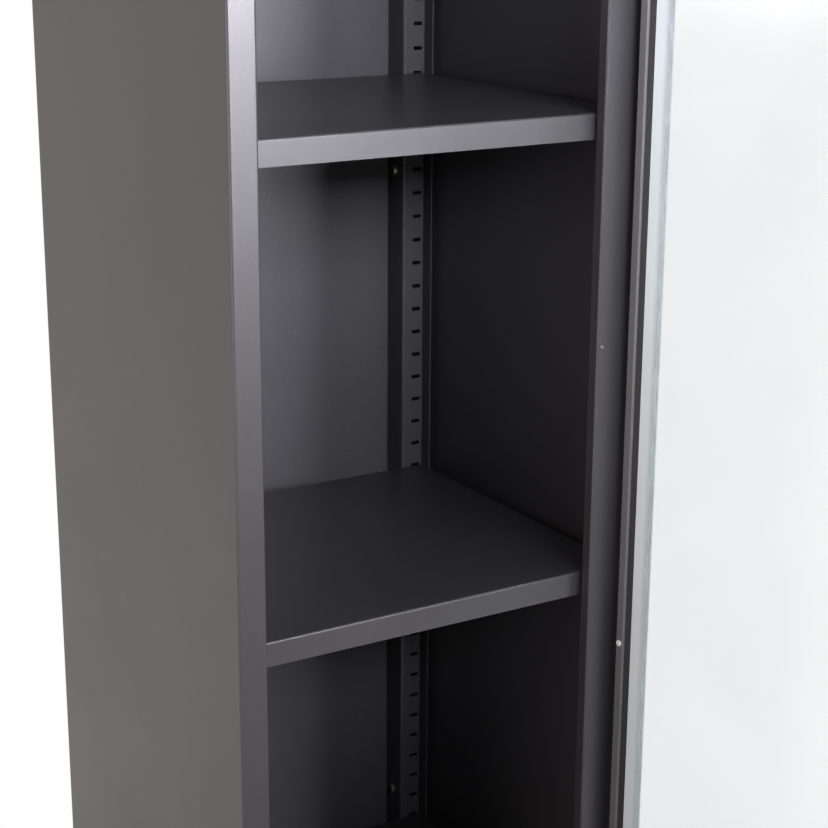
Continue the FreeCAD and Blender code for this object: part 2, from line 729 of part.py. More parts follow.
def lock():
    """Turn handle outside, barrel and nut through the lock stile, cam behind the post's slotted flange."""
    bore_edge = "spindle_wide / 2 + running"
    barrel = lathe("lock_barrel", [
        (bore_edge, "bead_thick - nut_thick"),
        ("barrel_wide / 2", "bead_thick - nut_thick"),
        ("barrel_wide / 2", "door_deep"),
        ("barrel_rim / 2", "door_deep"),
        ("barrel_rim / 2", "door_deep + barrel_cap / 2"),
        ("barrel_rim / 2 - barrel_cap / 2", "door_deep + barrel_cap"),
        (bore_edge, "door_deep + barrel_cap"),
    ])
    barrel.Placement = lock_place()
    parts.append(barrel)
    nut = new_body("barrel_nut")
    half = "nut_wide / 2"
    point = "nut_wide / sqrt(3)"
    hexagon = [(point, "0"), (f"{point} / 2", half), (f"-{point} / 2", half), (f"-{point}", "0"),
               (f"-{point} / 2", f"-{half}"), (f"{point} / 2", f"-{half}")]
    pad(nut, outline(nut, "XY_Plane", hexagon, "bead_thick"), "nut_thick", down=True)
    cut(nut, ring(nut, "XY_Plane", ("0", "0"), "barrel_wide + 4 * running", "bead_thick"), "nut_thick")
    nut.Placement = lock_place()
    parts.append(nut)
    seat = "door_deep + barrel_cap + 6 * running"
    cam_face = "-(post_deep + cam_gap + door_gap)"
    handle = lathe("turn_handle", [
        ("0", f"{cam_face} - cam_thick"),
        ("spindle_wide / 2", f"{cam_face} - cam_thick"),
        ("spindle_wide / 2", seat),
        ("handle_hub / 2", seat),
        ("handle_hub / 2", f"{seat} + handle_high"),
        ("0", f"{seat} + handle_high"),
    ])
    wing = box("-handle_thick / 2", "-handle_long / 2", "handle_thick / 2", "handle_long / 2")
    pad(handle, outline(handle, "XY_Plane", wing, f"{seat} + handle_high / 2"), "handle_stand")

    def wing_corner(start, end):
        upright = near(start[0], end[0]) and near(start[1], end[1])
        return upright and near(abs(start[1]), value("handle_long / 2"))

    round_edges(handle, "handle_thick / 2 - running", wing_corner)
    handle.Placement = lock_place()
    parts.append(handle)
    cam = new_body("lock_cam")
    shape = box("-cam_wide / 2", "-cam_wide / 2", "cam_wide / 2", "cam_reach")
    pad(cam, outline(cam, "XY_Plane", shape, cam_face), "cam_thick", down=True)

    def cam_corner(start, end):
        return near(start[0], end[0]) and near(start[1], end[1])

    round_edges(cam, "cam_wide / 2 - running", cam_corner)
    cut(cam, ring(cam, "XY_Plane", ("0", "0"), "spindle_wide + 2 * running", cam_face), "cam_thick")
    cam.Placement = lock_place()
    parts.append(cam)
    screw = lathe("cam_screw", box("0", "-cam_thick", "barrel_wide / 3", "0"))
    screw.Placement = lock_place().multiply(FreeCAD.Placement(
        FreeCAD.Vector(0, 0, value(f"{cam_face} - cam_thick")), FreeCAD.Rotation()))
    parts.append(screw)


case_shell()
shelves()
case_fasteners()
door_frame()
glazing()
bead_screws()
pivots()
lock()

doc.recompute()
for item in doc.Objects:
    if "Invalid" in item.State or "Error" in item.State:
        raise RuntimeError(f"{item.Label} did not compute")
for item in parts:
    if item.Shape.isNull() or not item.Shape.isValid():
        raise RuntimeError(f"{item.Label} has no valid shape")
os.makedirs("parts", exist_ok=True)
for item in parts:
    item.Shape.exportStep(f"parts/{item.Label}.step")
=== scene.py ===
"""Tall storage cabinet with a framed glass door: finishes, small fittings and studio."""
import json
import math

import bmesh
import bpy
from mathutils import Matrix, Vector


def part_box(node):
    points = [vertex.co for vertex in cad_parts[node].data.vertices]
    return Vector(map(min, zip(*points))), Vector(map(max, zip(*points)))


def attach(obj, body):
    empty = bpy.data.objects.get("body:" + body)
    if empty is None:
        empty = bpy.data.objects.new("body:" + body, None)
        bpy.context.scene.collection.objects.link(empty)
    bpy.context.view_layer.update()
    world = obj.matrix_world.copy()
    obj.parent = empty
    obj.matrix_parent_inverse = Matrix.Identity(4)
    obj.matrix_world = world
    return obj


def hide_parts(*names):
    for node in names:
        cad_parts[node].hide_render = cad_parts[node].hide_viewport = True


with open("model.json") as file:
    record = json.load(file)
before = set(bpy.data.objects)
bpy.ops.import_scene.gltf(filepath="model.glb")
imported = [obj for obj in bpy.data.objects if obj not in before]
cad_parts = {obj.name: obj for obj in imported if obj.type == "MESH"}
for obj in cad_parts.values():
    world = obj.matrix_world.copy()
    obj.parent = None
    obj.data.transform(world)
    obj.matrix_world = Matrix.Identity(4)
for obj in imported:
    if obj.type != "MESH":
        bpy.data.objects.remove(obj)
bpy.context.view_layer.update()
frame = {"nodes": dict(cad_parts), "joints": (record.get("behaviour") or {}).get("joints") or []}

bl_info = {
    "name": "Tall Storage Cabinet",
    "version": (1, 0, 0),
    "blender": (4, 5, 0),
    "location": "View3D > Sidebar > Cabinet",
    "description": "Finishes, fittings and studio for a tall storage cabinet with a framed glass door",
    "category": "Object",
}

MM = 0.001
# Millimetres within which two places count as one
CLOSE = 0.01
# Faces that meet at less than this angle are shaded as one surface
SMOOTH_BELOW = math.radians(32)

# Joint of the turn handle: its axis points into the cabinet when the door is shut
LOCK = next(joint for joint in frame["joints"] if joint["name"] == "lock_turn")
DOOR_INWARD = Vector(LOCK["axis"])
UPWARD = Vector((0, 0, 1))
FORWARD = Vector((0, -1, 0))
DOOR_ALONG = UPWARD.cross(DOOR_INWARD)

CASE_PAINTED = (
    "base_tray", "left_side_panel", "right_side_panel", "hinge_post_stiffener", "top_tray", "lower_shelf",
    "middle_shelf", "upper_shelf", "lower_pivot_bracket", "upper_pivot_bracket",
)
BACK_PAINTED = ("back_panel", "left_rear_upright", "right_rear_upright")
DOOR_PAINTED = ("hinge_stile", "lock_stile", "bottom_rail", "top_rail")
BEADS = ("hinge_bead", "lock_bead", "bottom_bead", "top_bead")
ZINC_NODES = ("lower_shelf_clips", "middle_shelf_clips", "upper_shelf_clips", "barrel_nut", "lock_cam")

# Place, aim and size of each lamp in metres, and its beam's angle in degrees
LAMPS = {
    "key": ((0.75, -2.35, 1.52), (-0.15, 0.1, 1.6), (0.5, 0.8), 80),
    "front": ((-0.2, -1.6, 1.9), (0.05, 0.3, 1.68), (0.9, 0.45), 62),
    "fill": ((-2.6, -0.5, 1.5), (0.0, -0.05, 1.0), (2.2, 2.4), 180),
    "rim": ((1.7, 2.3, 2.1), (0.0, 0.2, 0.9), (1.6, 1.6), 180),
}
# Lamps that light the coat without showing in its gloss
UNMIRRORED = ("front",)
# Metres from the middle over which the floor turns white to the eye, and bright in reflections
FLOOR_FADE = (0.6, 1.5)
MIRROR_FADE = (0.8, 1.6)
# How far back a direction points where the room's reflection turns from dim to bright
ROOM_FADE = (-0.5, 0.3)


class Value:
    """A shader socket that takes part in ordinary arithmetic."""

    def __init__(self, graph, socket):
        self.graph = graph
        self.socket = socket

    def __add__(self, other):
        return self.graph.maths("ADD", self, other)

    __radd__ = __add__

    def __sub__(self, other):
        return self.graph.maths("SUBTRACT", self, other)

    def __rsub__(self, other):
        return self.graph.maths("SUBTRACT", other, self)

    def __mul__(self, other):
        return self.graph.maths("MULTIPLY", self, other)

    __rmul__ = __mul__

    def larger(self, other):
        return self.graph.maths("MAXIMUM", self, other)

    def ramp(self, low, high):
        """0 below low, 1 above high and a smooth rise between."""
        settings = {"interpolation_type": "SMOOTHSTEP"}
        inputs = {"Value": self, "From Min": low, "From Max": high}
        return self.graph.node("ShaderNodeMapRange", settings, inputs)


class Graph:
    """The node tree of a material or of the world."""

    def __init__(self, owner):
        self.owner = owner
        owner.use_nodes = True
        self.tree = owner.node_tree
        self.tree.nodes.clear()
        self.place = self.node("ShaderNodeTexCoord", output="Object")

    def node(self, kind, settings=None, inputs=None, output=0):
        made = self.tree.nodes.new(kind)
        for name, setting in (settings or {}).items():
            setattr(made, name, setting)
        for name, given in (inputs or {}).items():
            if isinstance(given, Value):
                self.tree.links.new(given.socket, made.inputs[name])
            else:
                made.inputs[name].default_value = given
        return Value(self, made.outputs[output])

    def maths(self, operation, first, second):
        return self.node("ShaderNodeMath", {"operation": operation}, {0: first, 1: second})

    def colour(self, factor, first, second):
        inputs = {0: factor, 6: first, 7: second}
        return self.node("ShaderNodeMix", {"data_type": "RGBA", "clamp_factor": True}, inputs, output=2)

    def scaled(self, x, y, z):
        inputs = {0: self.place, 1: (x, y, z)}
        return self.node("ShaderNodeVectorMath", {"operation": "MULTIPLY"}, inputs)

    def noise(self, size, detail=2.0, rough=0.5, place=None):
        """Noise with blotches about size millimetres across."""
        inputs = {"Vector": place or self.place, "Scale": 1 / (size * MM)}
        inputs.update({"Detail": detail, "Roughness": rough})
        return self.node("ShaderNodeTexNoise", None, inputs)

    def bump(self, height, depth, strength=1.0):
        inputs = {"Strength": strength, "Distance": depth * MM, "Height": height}
        return self.node("ShaderNodeBump", None, inputs)

    def surface(self, **inputs):
        """Principled surface, given its sockets by name with underscores for spaces."""
        named = {name.replace("_", " "): given for name, given in inputs.items()}
        return self.node("ShaderNodeBsdfPrincipled", None, named)

    def ray(self, kind):
        """1 where a light path is of one kind."""
        return self.node("ShaderNodeLightPath", output=f"Is {kind} Ray")

    def reflected(self):
        """1 where a path is a reflection and has not come through the pane."""
        return self.ray("Glossy") * (1 - self.ray("Transmission"))

    def done(self, surface, output="ShaderNodeOutputMaterial"):
        ending = self.tree.nodes.new(output)
        self.tree.links.new(surface.socket, ending.inputs["Surface"])
        return self.owner


def new_graph(name):
    return Graph(bpy.data.materials.new(name))


def tint(colour, factor):
    return tuple(min(1.0, part * factor) for part in colour[:3]) + (1.0,)


def powder_coat(name, base, finish, fleck=0.0):
    """Fine-textured powder coat: orange-peel grain, paler specks, slow mottling in tone and gloss."""
    graph = new_graph(name)
    grain = graph.noise(finish.coat_grain, detail=3.0, rough=0.6)
    pepper = graph.noise(finish.coat_grain * 0.55, detail=1.0).ramp(0.56, 0.74)
    mottle = graph.noise(180.0, detail=3.0).ramp(0.3, 0.7)
    rub = graph.noise(45.0, detail=4.0, rough=0.65).ramp(0.52, 0.75)
    tone = graph.colour(mottle, tint(base, 0.94), tint(base, 1.05))
    tone = graph.colour(pepper * 0.45, tone, tint(base, 1.9))
    tone = graph.colour(grain.ramp(0.5, 0.25) * 0.5, tone, tint(base, 0.55))
    fine = graph.noise(3.2, detail=1.0).ramp(0.72, 0.78)
    tone = graph.colour(fine * fleck, tone, tint(base, 2.6))
    rough = finish.coat_rough + (mottle - 0.5) * 0.05 + (grain - 0.5) * 0.10 - rub * 0.03
    normal = graph.bump(grain + pepper * 0.35, finish.coat_relief, 0.6)
    return graph.done(graph.surface(Base_Color=tone, Roughness=rough, Normal=normal, IOR=1.65))


def frosted_glass(name, finish):
    """Acid-etched glass with a pale enamelled border that fades into the clear field."""
    graph = new_graph(name)
    cloud = graph.noise(120.0, detail=2.0)
    etch = graph.noise(0.6, detail=2.0)
    tone = graph.colour(cloud.ramp(0.35, 0.65), tint(finish.glass_colour, 0.985), finish.glass_colour)
    rough = finish.glass_rough + (cloud - 0.5) * 0.04 + (etch - 0.5) * 0.03
    normal = graph.bump(etch, 0.02, 0.25)
    glass = graph.surface(Base_Color=tone, Roughness=rough, Normal=normal, IOR=1.5, Transmission_Weight=1.0)
    shade = graph.colour(cloud.ramp(0.3, 0.7), tint(finish.enamel_colour, 0.96), finish.enamel_colour)
    enamel = graph.surface(Base_Color=shade, Roughness=0.3 + etch * 0.1, Normal=normal, IOR=1.5)
    beyond = []
    for axis in (DOOR_ALONG, UPWARD):
        low, high = span("glass_pane", axis)
        inputs = {0: graph.place, 1: axis}
        at = graph.node("ShaderNodeVectorMath", {"operation": "DOT_PRODUCT"}, inputs, output="Value")
        beyond.append((at - high * MM).larger(low * MM - at))
    edge = beyond[0].larger(beyond[1]) + (etch - 0.5) * 2 * MM
    enamelled = edge.ramp(-finish.enamel_wide - finish.enamel_fade, -finish.enamel_wide)
    return graph.done(graph.node("ShaderNodeMixShader", None, {0: enamelled, 1: glass, 2: enamel}))


def plated(name, colour, rough):
    """Plated steel with a faint cloudy passivation and fine scratches."""
    graph = new_graph(name)
    cloud = graph.noise(9.0, detail=3.0)
    scratch = graph.noise(1.0, detail=2.0, place=graph.scaled(1.0, 1.0, 9.0)).ramp(0.45, 0.7)
    tone = graph.colour(cloud.ramp(0.3, 0.7), tint(colour, 0.86), tint(colour, 1.06))
    value = rough + (cloud - 0.5) * 0.12 + scratch * 0.06
    normal = graph.bump(scratch, 0.01, 0.3)
    return graph.done(graph.surface(Base_Color=tone, Roughness=value, Normal=normal, Metallic=1.0))


def moulded(name, colour, rough):
    """Moulded rubber or plastic with a fine spark-eroded grain."""
    graph = new_graph(name)
    grain = graph.noise(0.5, detail=2.0)
    cloud = graph.noise(25.0, detail=2.0)
    tone = graph.colour(cloud.ramp(0.3, 0.7), tint(colour, 0.9), tint(colour, 1.12))
    value = rough + (grain - 0.5) * 0.16
    normal = graph.bump(grain, 0.02, 0.4)
    return graph.done(graph.surface(Base_Color=tone, Roughness=value, Normal=normal, IOR=1.48))


def start(name, add, **sizes):
    """One new primitive, alone in the selection, in edit mode with all of it picked."""
    bpy.ops.object.select_all(action="DESELECT")
    add(**sizes)
    made = bpy.context.object
    made.name = name
    bpy.ops.object.mode_set(mode="EDIT")
    return made


def drum(name, sides, wide, tall, foot=0.0):
    """A new cylinder that stands on the z axis at the height of its foot."""
    return start(name, bpy.ops.mesh.primitive_cylinder_add, vertices=sides, radius=wide / 2, depth=tall,
                 location=(0, 0, foot + tall / 2))


def leave():
    """Goes back to object mode and puts the primitive's place into its mesh."""
    bpy.ops.object.mode_set(mode="OBJECT")
    bpy.ops.object.transform_apply(location=True)


def pick(kind, test):
    """Picks the edit mesh's verts, edges or faces whose corners all pass the test; an error if none do."""
    mesh = bmesh.from_edit_mesh(bpy.context.edit_object.data)
    bpy.context.tool_settings.mesh_select_mode = (kind == "verts", kind == "edges", kind == "faces")
    bpy.ops.mesh.select_all(action="DESELECT")
    picked = 0
    for part in getattr(mesh, kind):
        corners = [part] if kind == "verts" else part.verts
        wanted = all(test(corner.co) for corner in corners)
        part.select_set(wanted)
        picked += wanted
    mesh.select_flush_mode()
    bmesh.update_edit_mesh(bpy.context.edit_object.data)
    if not picked:
        raise RuntimeError(f"{bpy.context.edit_object.name}: nothing to pick")


def near(first, second):
    return abs(first - second) < CLOSE


def extrude(x=0.0, y=0.0, z=0.0):
    bpy.ops.mesh.extrude_region_move(TRANSFORM_OT_translate={"value": (x, y, z)})


def combine(target, other, operation):
    """Adds the other piece to the target or cuts it out, and deletes the other."""
    bpy.ops.object.select_all(action="DESELECT")
    bpy.context.view_layer.objects.active = target
    target.select_set(True)
    modifier = target.modifiers.new("combine", "BOOLEAN")
    modifier.operation = operation
    modifier.solver = "EXACT"
    modifier.material_mode = "TRANSFER"
    modifier.object = other
    bpy.ops.object.modifier_apply(modifier=modifier.name)
    bpy.data.objects.remove(other)


def seat(point, out, up=UPWARD):
    """Stands a piece modelled in millimetres on a point, with its z along out and its y along up."""
    across = up.cross(out).normalized()
    turn = Matrix((across, out.cross(across), out)).transposed().to_4x4()
    return Matrix.Translation(point) @ turn @ Matrix.Scale(MM, 4)


def turned(first, rate, height):
    """Turn of a screw about itself, which differs from height to height."""
    return Matrix.Rotation(first + rate * height, 4, "Z")


def spread(master, name, places):
    """Copies a finished master to each place, joins the copies and puts the places into the mesh."""
    bpy.ops.object.select_all(action="DESELECT")
    for place in places:
        made = bpy.data.objects.new(name, master.data.copy())
        bpy.context.collection.objects.link(made)
        made.matrix_world = place
        made.select_set(True)
        bpy.context.view_layer.objects.active = made
    bpy.data.objects.remove(master)
    bpy.ops.object.transform_apply(location=True, rotation=True, scale=True)
    if len(places) > 1:
        bpy.ops.object.join()
    joined = bpy.context.object
    joined.name = name
    bpy.ops.object.shade_smooth_by_angle(angle=SMOOTH_BELOW)
    return joined


def settle(piece, material, slot, body, *nodes):
    """Finish, unless it has its own, body and the nodes that the piece stands for."""
    if material:
        piece.data.materials.clear()
        piece.data.materials.append(material)
    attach(piece, body)
    if nodes:
        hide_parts(*nodes)


def finish_of(name):
    """A plated or moulded finish, made the first time it is asked for."""
    finish = bpy.context.scene.cabinet_finish
    # Maker, colour and roughness of each finish
    makers = {
        "zinc": (plated, finish.zinc_colour, 0.24),
        "bright_steel": (plated, finish.steel_colour, 0.3),
        "white_nylon": (moulded, finish.white_colour, 0.35),
        "dull_rivet": (plated, finish.rivet_colour, 0.36),
        "chrome_trim": (plated, finish.chrome_colour, 0.2),
        "rubber": (moulded, finish.rubber_colour, 0.6),
        "silicone": (moulded, finish.silicone_colour, 0.55),
        "nylon": (moulded, finish.nylon_colour, 0.5),
        # Painted shade: the near-black recess finish stands in for the shadow inside the screws' drive
        # recesses
        "recess": (moulded, finish.recess_shade_colour, 0.45),
        "handle_black": (moulded, finish.handle_colour, 0.4),
    }
    make, colour, rough = makers[name]
    return bpy.data.materials.get(name) or make(name, colour, rough)


def solids(node, apart):
    """Boxes of a node's separate solids, which stand further apart than a distance in metres."""
    groups = []
    for vertex in frame["nodes"][node].data.vertices:
        for group in groups:
            if (vertex.co - group[0]).length < apart:
                group.append(vertex.co)
                break
        else:
            groups.append([vertex.co])
    boxes = []
    for group in groups:
        low = Vector([min(point[axis] for point in group) for axis in range(3)])
        high = Vector([max(point[axis] for point in group) for axis in range(3)])
        boxes.append((low, high))
    return boxes


def on_posts(boxes):
    """Places on the front posts, facing forward, at the boxes of small fittings."""
    return [seat(Vector(((low.x + high.x) / 2, high.y, (low.z + high.z) / 2)), FORWARD) for low, high in boxes]


def span(node, axis):
    """How far a node reaches along an axis, in millimetres."""
    reach = [vertex.co.dot(axis) / MM for vertex in frame["nodes"][node].data.vertices]
    return min(reach), max(reach)


def opening(upright, level):
    """Clear rectangle between the door's uprights and levels of a kind: left, low, right, high."""
    return (span(f"hinge_{upright}", DOOR_ALONG)[1], span(f"bottom_{level}", UPWARD)[1],
            span(f"lock_{upright}", DOOR_ALONG)[0], span(f"top_{level}", UPWARD)[0])


def shrunk(rectangle, step):
    left, low, right, high = rectangle
    return left + step, low + step, right - step, high - step


def within(co, rectangle):
    left, low, right, high = shrunk(rectangle, -CLOSE)
    return left < co.x < right and low < co.y < high


def reshape(old, new):
    """Turns the picked face from one rectangle into another."""
    growth = [(new[axis + 2] - new[axis]) / (old[axis + 2] - old[axis]) for axis in (0, 1)]
    shift = [(new[axis] + new[axis + 2] - old[axis] - old[axis + 2]) / 2 for axis in (0, 1)]
    bpy.ops.transform.resize(value=(*growth, 1))
    bpy.ops.transform.translate(value=(*shift, 0))


def border(name, *rectangles):
    """Flat frames between nested rectangles, open in the middle."""
    inset = 0.2
    made = start(name, bpy.ops.mesh.primitive_plane_add, size=2)
    reshape((-1, -1, 1, 1), rectangles[0])
    for outer, inner in zip(rectangles, rectangles[1:]):
        bpy.ops.mesh.inset(thickness=inset)
        reshape(shrunk(outer, inset), inner)
    bpy.ops.mesh.delete(type="FACE")
    return made


def cross_recess(size, deep):
    """Cutter for a cross drive: two crossed bars that narrow downwards."""
    bars = []
    for turn in (0.0, math.pi / 2):
        bar = start("recess_bar", bpy.ops.mesh.primitive_cube_add, size=1, rotation=(0, 0, turn))
        pick("faces", lambda co: co.z < 0)
        bpy.ops.transform.resize(value=(0.45, 0.7, 1))
        bpy.ops.object.mode_set(mode="OBJECT")
        bar.scale = (size, size * 0.24, 2 * deep)
        bars.append(bar)
    bpy.ops.object.select_all(action="DESELECT")
    for bar in bars:
        bar.select_set(True)
    bpy.ops.object.transform_apply(location=True, rotation=True, scale=True)
    target, crossing = bars
    combine(target, crossing, "UNION")
    return target


def socket_recess(size, deep):
    """Cutter for a hexagon socket with a coned floor."""
    cutter = drum("socket", 6, 2 * size / math.sqrt(3), 2 * deep, -deep)
    pick("faces", lambda co: co.z < 0)
    bpy.ops.mesh.inset(thickness=size * 0.06)
    extrude(z=-deep * 0.15)
    bpy.ops.transform.resize(value=(0.3, 0.3, 1))
    bpy.ops.object.mode_set(mode="OBJECT")
    return cutter


def screw(name, head, high, shank, long, recess, finish, sunk="recess"):
    """Round-topped screw with its drive recess in a finish of its own, seated on z = 0."""
    made = drum(name, 48, head, high)
    pick("faces", lambda co: near(co.z, -high / 2))
    bpy.ops.mesh.inset(thickness=(head - shank) / 2)
    extrude(z=-long)
    pick("edges", lambda co: near(co.z, high / 2) and near(co.xy.length, head / 2))
    bpy.ops.mesh.bevel(offset=min(high, head / 4) * 0.8, segments=6, profile=0.5)
    leave()
    made.data.materials.append(finish_of(finish))
    recess.data.materials.append(finish_of(sunk))
    recess.location.z = high
    combine(made, recess, "DIFFERENCE")
    return made


def rivet(name, head, high):
    """Domed blind rivet with the broken mandrel sunk in the middle of its head."""
    made = drum(name, 32, head, high)
    pick("edges", lambda co: near(co.z, high / 2))
    bpy.ops.mesh.bevel(offset=high * 0.85, segments=6, profile=0.5)
    pick("faces", lambda co: near(co.z, high / 2))
    bpy.ops.mesh.inset(thickness=head * 0.12)
    extrude(z=-high * 0.45)
    bpy.ops.mesh.inset(thickness=head * 0.03)
    extrude(z=high * 0.2)
    leave()
    return made


def dress(names, material):
    """Gives carried-over nodes their finish."""
    for name in names:
        node = frame["nodes"][name]
        node.data.materials.clear()
        node.data.materials.append(material)


def hue(name, description, *default):
    return bpy.props.FloatVectorProperty(
        name=name, description=description, subtype="COLOR", size=4, min=0, max=1, default=(*default, 1))


def share(name, description, default):
    return bpy.props.FloatProperty(
        name=name, description=description, subtype="FACTOR", min=0, max=1, default=default)


def amount(name, description, default):
    return bpy.props.FloatProperty(name=name, description=description, min=0, default=default)


def millimetres(name, description, default):
    return amount(name, f"{description}, in millimetres", default)


def metres(name, description, default):
    return bpy.props.FloatProperty(name=name, description=description, unit="LENGTH", min=0, default=default)


def angle(name, description, degrees):
    return bpy.props.FloatProperty(
        name=name, description=description, subtype="ANGLE", default=math.radians(degrees))


class CabinetFinish(bpy.types.PropertyGroup):
    """Colours and surface sizes."""
    coat_colour: hue("Coat Colour", "Powder coat of the case and the door frame", 0.045, 0.044, 0.049)
    # Painted light: the back panel and uprights get a paler copy of the case's coat, so they read as more
    # brightly lit than the posts
    lit_back_colour: hue("Back Colour", "Paler coat of the back panel and the uprights", 0.086, 0.085, 0.093)
    bead_colour: hue("Bead Colour", "Grey coat of the glazing beads", 0.15, 0.15, 0.16)
    back_fleck: share("Back Fleck", "Strength of the pale flecks in the back's coat", 0.8)
    coat_rough: share("Coat Roughness", "Middle roughness of the powder coat", 0.34)
    coat_grain: millimetres("Coat Grain", "Size of the powder coat's texture", 1.3)
    coat_relief: millimetres("Coat Relief", "Height of the powder coat's texture", 0.05)
    glass_colour: hue("Glass Colour", "Etched glass", 0.93, 0.947, 0.955)
    glass_rough: share("Glass Roughness", "How far the etched glass scatters", 0.16)
    enamel_colour: hue("Enamel Colour", "Fired border of the pane", 0.86, 0.97, 1.0)
    enamel_wide: metres("Enamel Width", "Border of the pane that is fully enamelled", 14 * MM)
    enamel_fade: metres("Enamel Fade", "Over which the enamel thins out", 10 * MM)
    zinc_colour: hue("Zinc Colour", "Passivated zinc plating", 0.74, 0.70, 0.55)
    steel_colour: hue("Steel Colour", "Bright steel of the pivot pins", 0.60, 0.60, 0.61)
    white_colour: hue("White Colour", "Moulded bead screws", 0.93, 0.93, 0.94)
    rivet_colour: hue("Rivet Colour", "Dull heads of the post rivets", 0.4, 0.4, 0.41)
    chrome_colour: hue("Chrome Colour", "Satin chrome of the lock rosette", 0.66, 0.67, 0.68)
    rubber_colour: hue("Rubber Colour", "Glazing wedge and buffers", 0.020, 0.020, 0.021)
    silicone_colour: hue("Silicone Colour", "Glazing bed", 0.48, 0.52, 0.53)
    # Painted shade: the upright screws' drive recesses are coloured near-black for the shadow inside them;
    # they are not oiled
    recess_shade_colour: hue("Recess Colour", "Oiled drive recesses of the upright screws", 0.012, 0.012, 0.010)
    nylon_colour: hue("Nylon Colour", "Pivot bushes", 0.72, 0.71, 0.66)
    handle_colour: hue("Handle Colour", "Turn handle", 0.016, 0.016, 0.017)


class CabinetSizes(bpy.types.PropertyGroup):
    """Sizes of the small fittings, in millimetres."""
    screw_head: millimetres("Screw Head", "Upright screws, head diameter", 11.5)
    screw_high: millimetres("Screw Height", "Upright screws, head height", 3.45)
    screw_shank: millimetres("Screw Shank", "Upright screws, shank diameter", 6.0)
    screw_long: millimetres("Screw Length", "Upright screws, shank length", 9.0)
    bead_screw_head: millimetres("Bead Screw Head", "Bead screws, head diameter", 6.0)
    bead_screw_high: millimetres("Bead Screw Height", "Bead screws, head height", 0.8)
    lip_wide: millimetres("Lip", "Glazing bed, lip round the flanges' edges", 0.9)
    wedge_wide: millimetres("Wedge Width", "Glazing wedge, along the pane", 3.3)
    wedge_high: millimetres("Wedge Height", "Glazing wedge, up the beads", 5.0)
    seal_gap: millimetres("Seal Gap", "Bed and wedge, clear of the frame", 0.05)
    rivet_head: millimetres("Rivet Head", "Post rivets, head diameter", 4.6)
    rivet_high: millimetres("Rivet Height", "Post rivets, head height", 1.15)
    handle_gap: millimetres("Handle Gap", "Turn handle, clear of the rosette", 0.3)
    handle_hub: millimetres("Handle Hub", "Turn handle, hub diameter", 24.0)
    hub_round: millimetres("Hub Rounding", "Turn handle, rim of the hub", 1.6)
    wing_round: millimetres("Wing Rounding", "Turn handle, top of the wing", 1.8)
    handle_high: millimetres("Hub Height", "Turn handle, hub height", 10.0)
    handle_long: millimetres("Wing Length", "Turn handle, wing length", 70.0)
    handle_thick: millimetres("Wing Thickness", "Turn handle, wing thickness", 12.0)
    spindle_wide: millimetres("Spindle", "Turn handle, spindle diameter", 10.0)
    barrel_rim: millimetres("Rosette", "Lock rosette, diameter", 34.0)
    barrel_cap: millimetres("Rosette Thickness", "Lock rosette, thickness", 4.0)
    barrel_wide: millimetres("Barrel", "Lock barrel, diameter", 18.0)
    ring_wide: millimetres("Ring", "Lock rosette, ring outside the groove", 1.2)
    groove_wide: millimetres("Groove Width", "Lock rosette, groove", 0.8)
    groove_deep: millimetres("Groove Depth", "Lock rosette, groove", 0.5)
    running: millimetres("Running Clearance", "Lock barrel, round the spindle", 0.05)


class CabinetStudio(bpy.types.PropertyGroup):
    """Camera and light."""
    camera_place: bpy.props.FloatVectorProperty(
        name="Camera Place", description="Where the camera stands", subtype="TRANSLATION", size=3,
        unit="LENGTH", default=(-0.84711, -1.31639, 1.54679))
    camera_yaw: angle("Yaw", "Turn from straight at the front towards the right", 31.757)
    camera_pitch: angle("Pitch", "Tilt downwards", 16.266)
    camera_roll: angle("Roll", "Turn about the line of sight", 0.365)
    lens: bpy.props.FloatProperty(
        name="Lens", description="Focal length on a 36 mm sensor", subtype="DISTANCE_CAMERA", default=81.92)
    key_power: amount("Key Power", "Soft box at the front right", 11.5)
    front_power: amount("Front Power", "Soft light ahead that shows in no gloss", 7.4)
    fill_power: amount("Fill Power", "Wide soft fill from the left", 40.0)
    rim_power: amount("Rim Power", "Soft light from behind on the right", 30.0)
    key_colour: hue("Key Colour", "Soft box at the front right", 0.94, 0.93, 1.0)
    front_colour: hue("Front Colour", "Soft light ahead that shows in no gloss", 0.94, 0.93, 1.0)
    fill_colour: hue("Fill Colour", "Wide soft fill from the left", 1.0, 0.85, 0.81)
    rim_colour: hue("Rim Colour", "Soft light from behind on the right", 1.0, 1.0, 1.0)
    floor_wide: metres("Floor Width", "Side of the square floor", 14.0)
    floor_colour: hue("Floor Colour", "Floor where it takes the object's shadow", 0.45, 0.45, 0.45)
    floor_white: share("Floor White", "Share of plain white in the floor round the object", 0.8)
    mirrored_colour: hue("Mirrored Colour", "Room and floor in reflections", 1.0, 0.92, 0.90)
    mirrored: share("Mirrored", "Room behind the cabinet, in reflections", 0.76)
    dim: share("Dim", "Room ahead of the cabinet, in reflections", 0.1)
    ambient: share("Ambient", "Light of the room on matt surfaces", 0.22)


class CABINET_OT_painted_sheet(bpy.types.Operator):
    """Powder coat on the case's folded sheets and the door's frame"""
    bl_idname = "cabinet.painted_sheet"
    bl_label = "Painted Sheet"

    def execute(self, context):
        finish = context.scene.cabinet_finish
        dress(CASE_PAINTED, powder_coat("case_paint", finish.coat_colour, finish))
        # Painted light: the paler back colour stands in for the light that falls on the back panel and
        # uprights
        back_paint = powder_coat("back_paint", finish.lit_back_colour, finish, finish.back_fleck)
        dress(BACK_PAINTED, back_paint)
        dress(DOOR_PAINTED, powder_coat("door_paint", finish.coat_colour, finish))
        dress(BEADS, powder_coat("bead_paint", finish.bead_colour, finish))
        return {"FINISHED"}


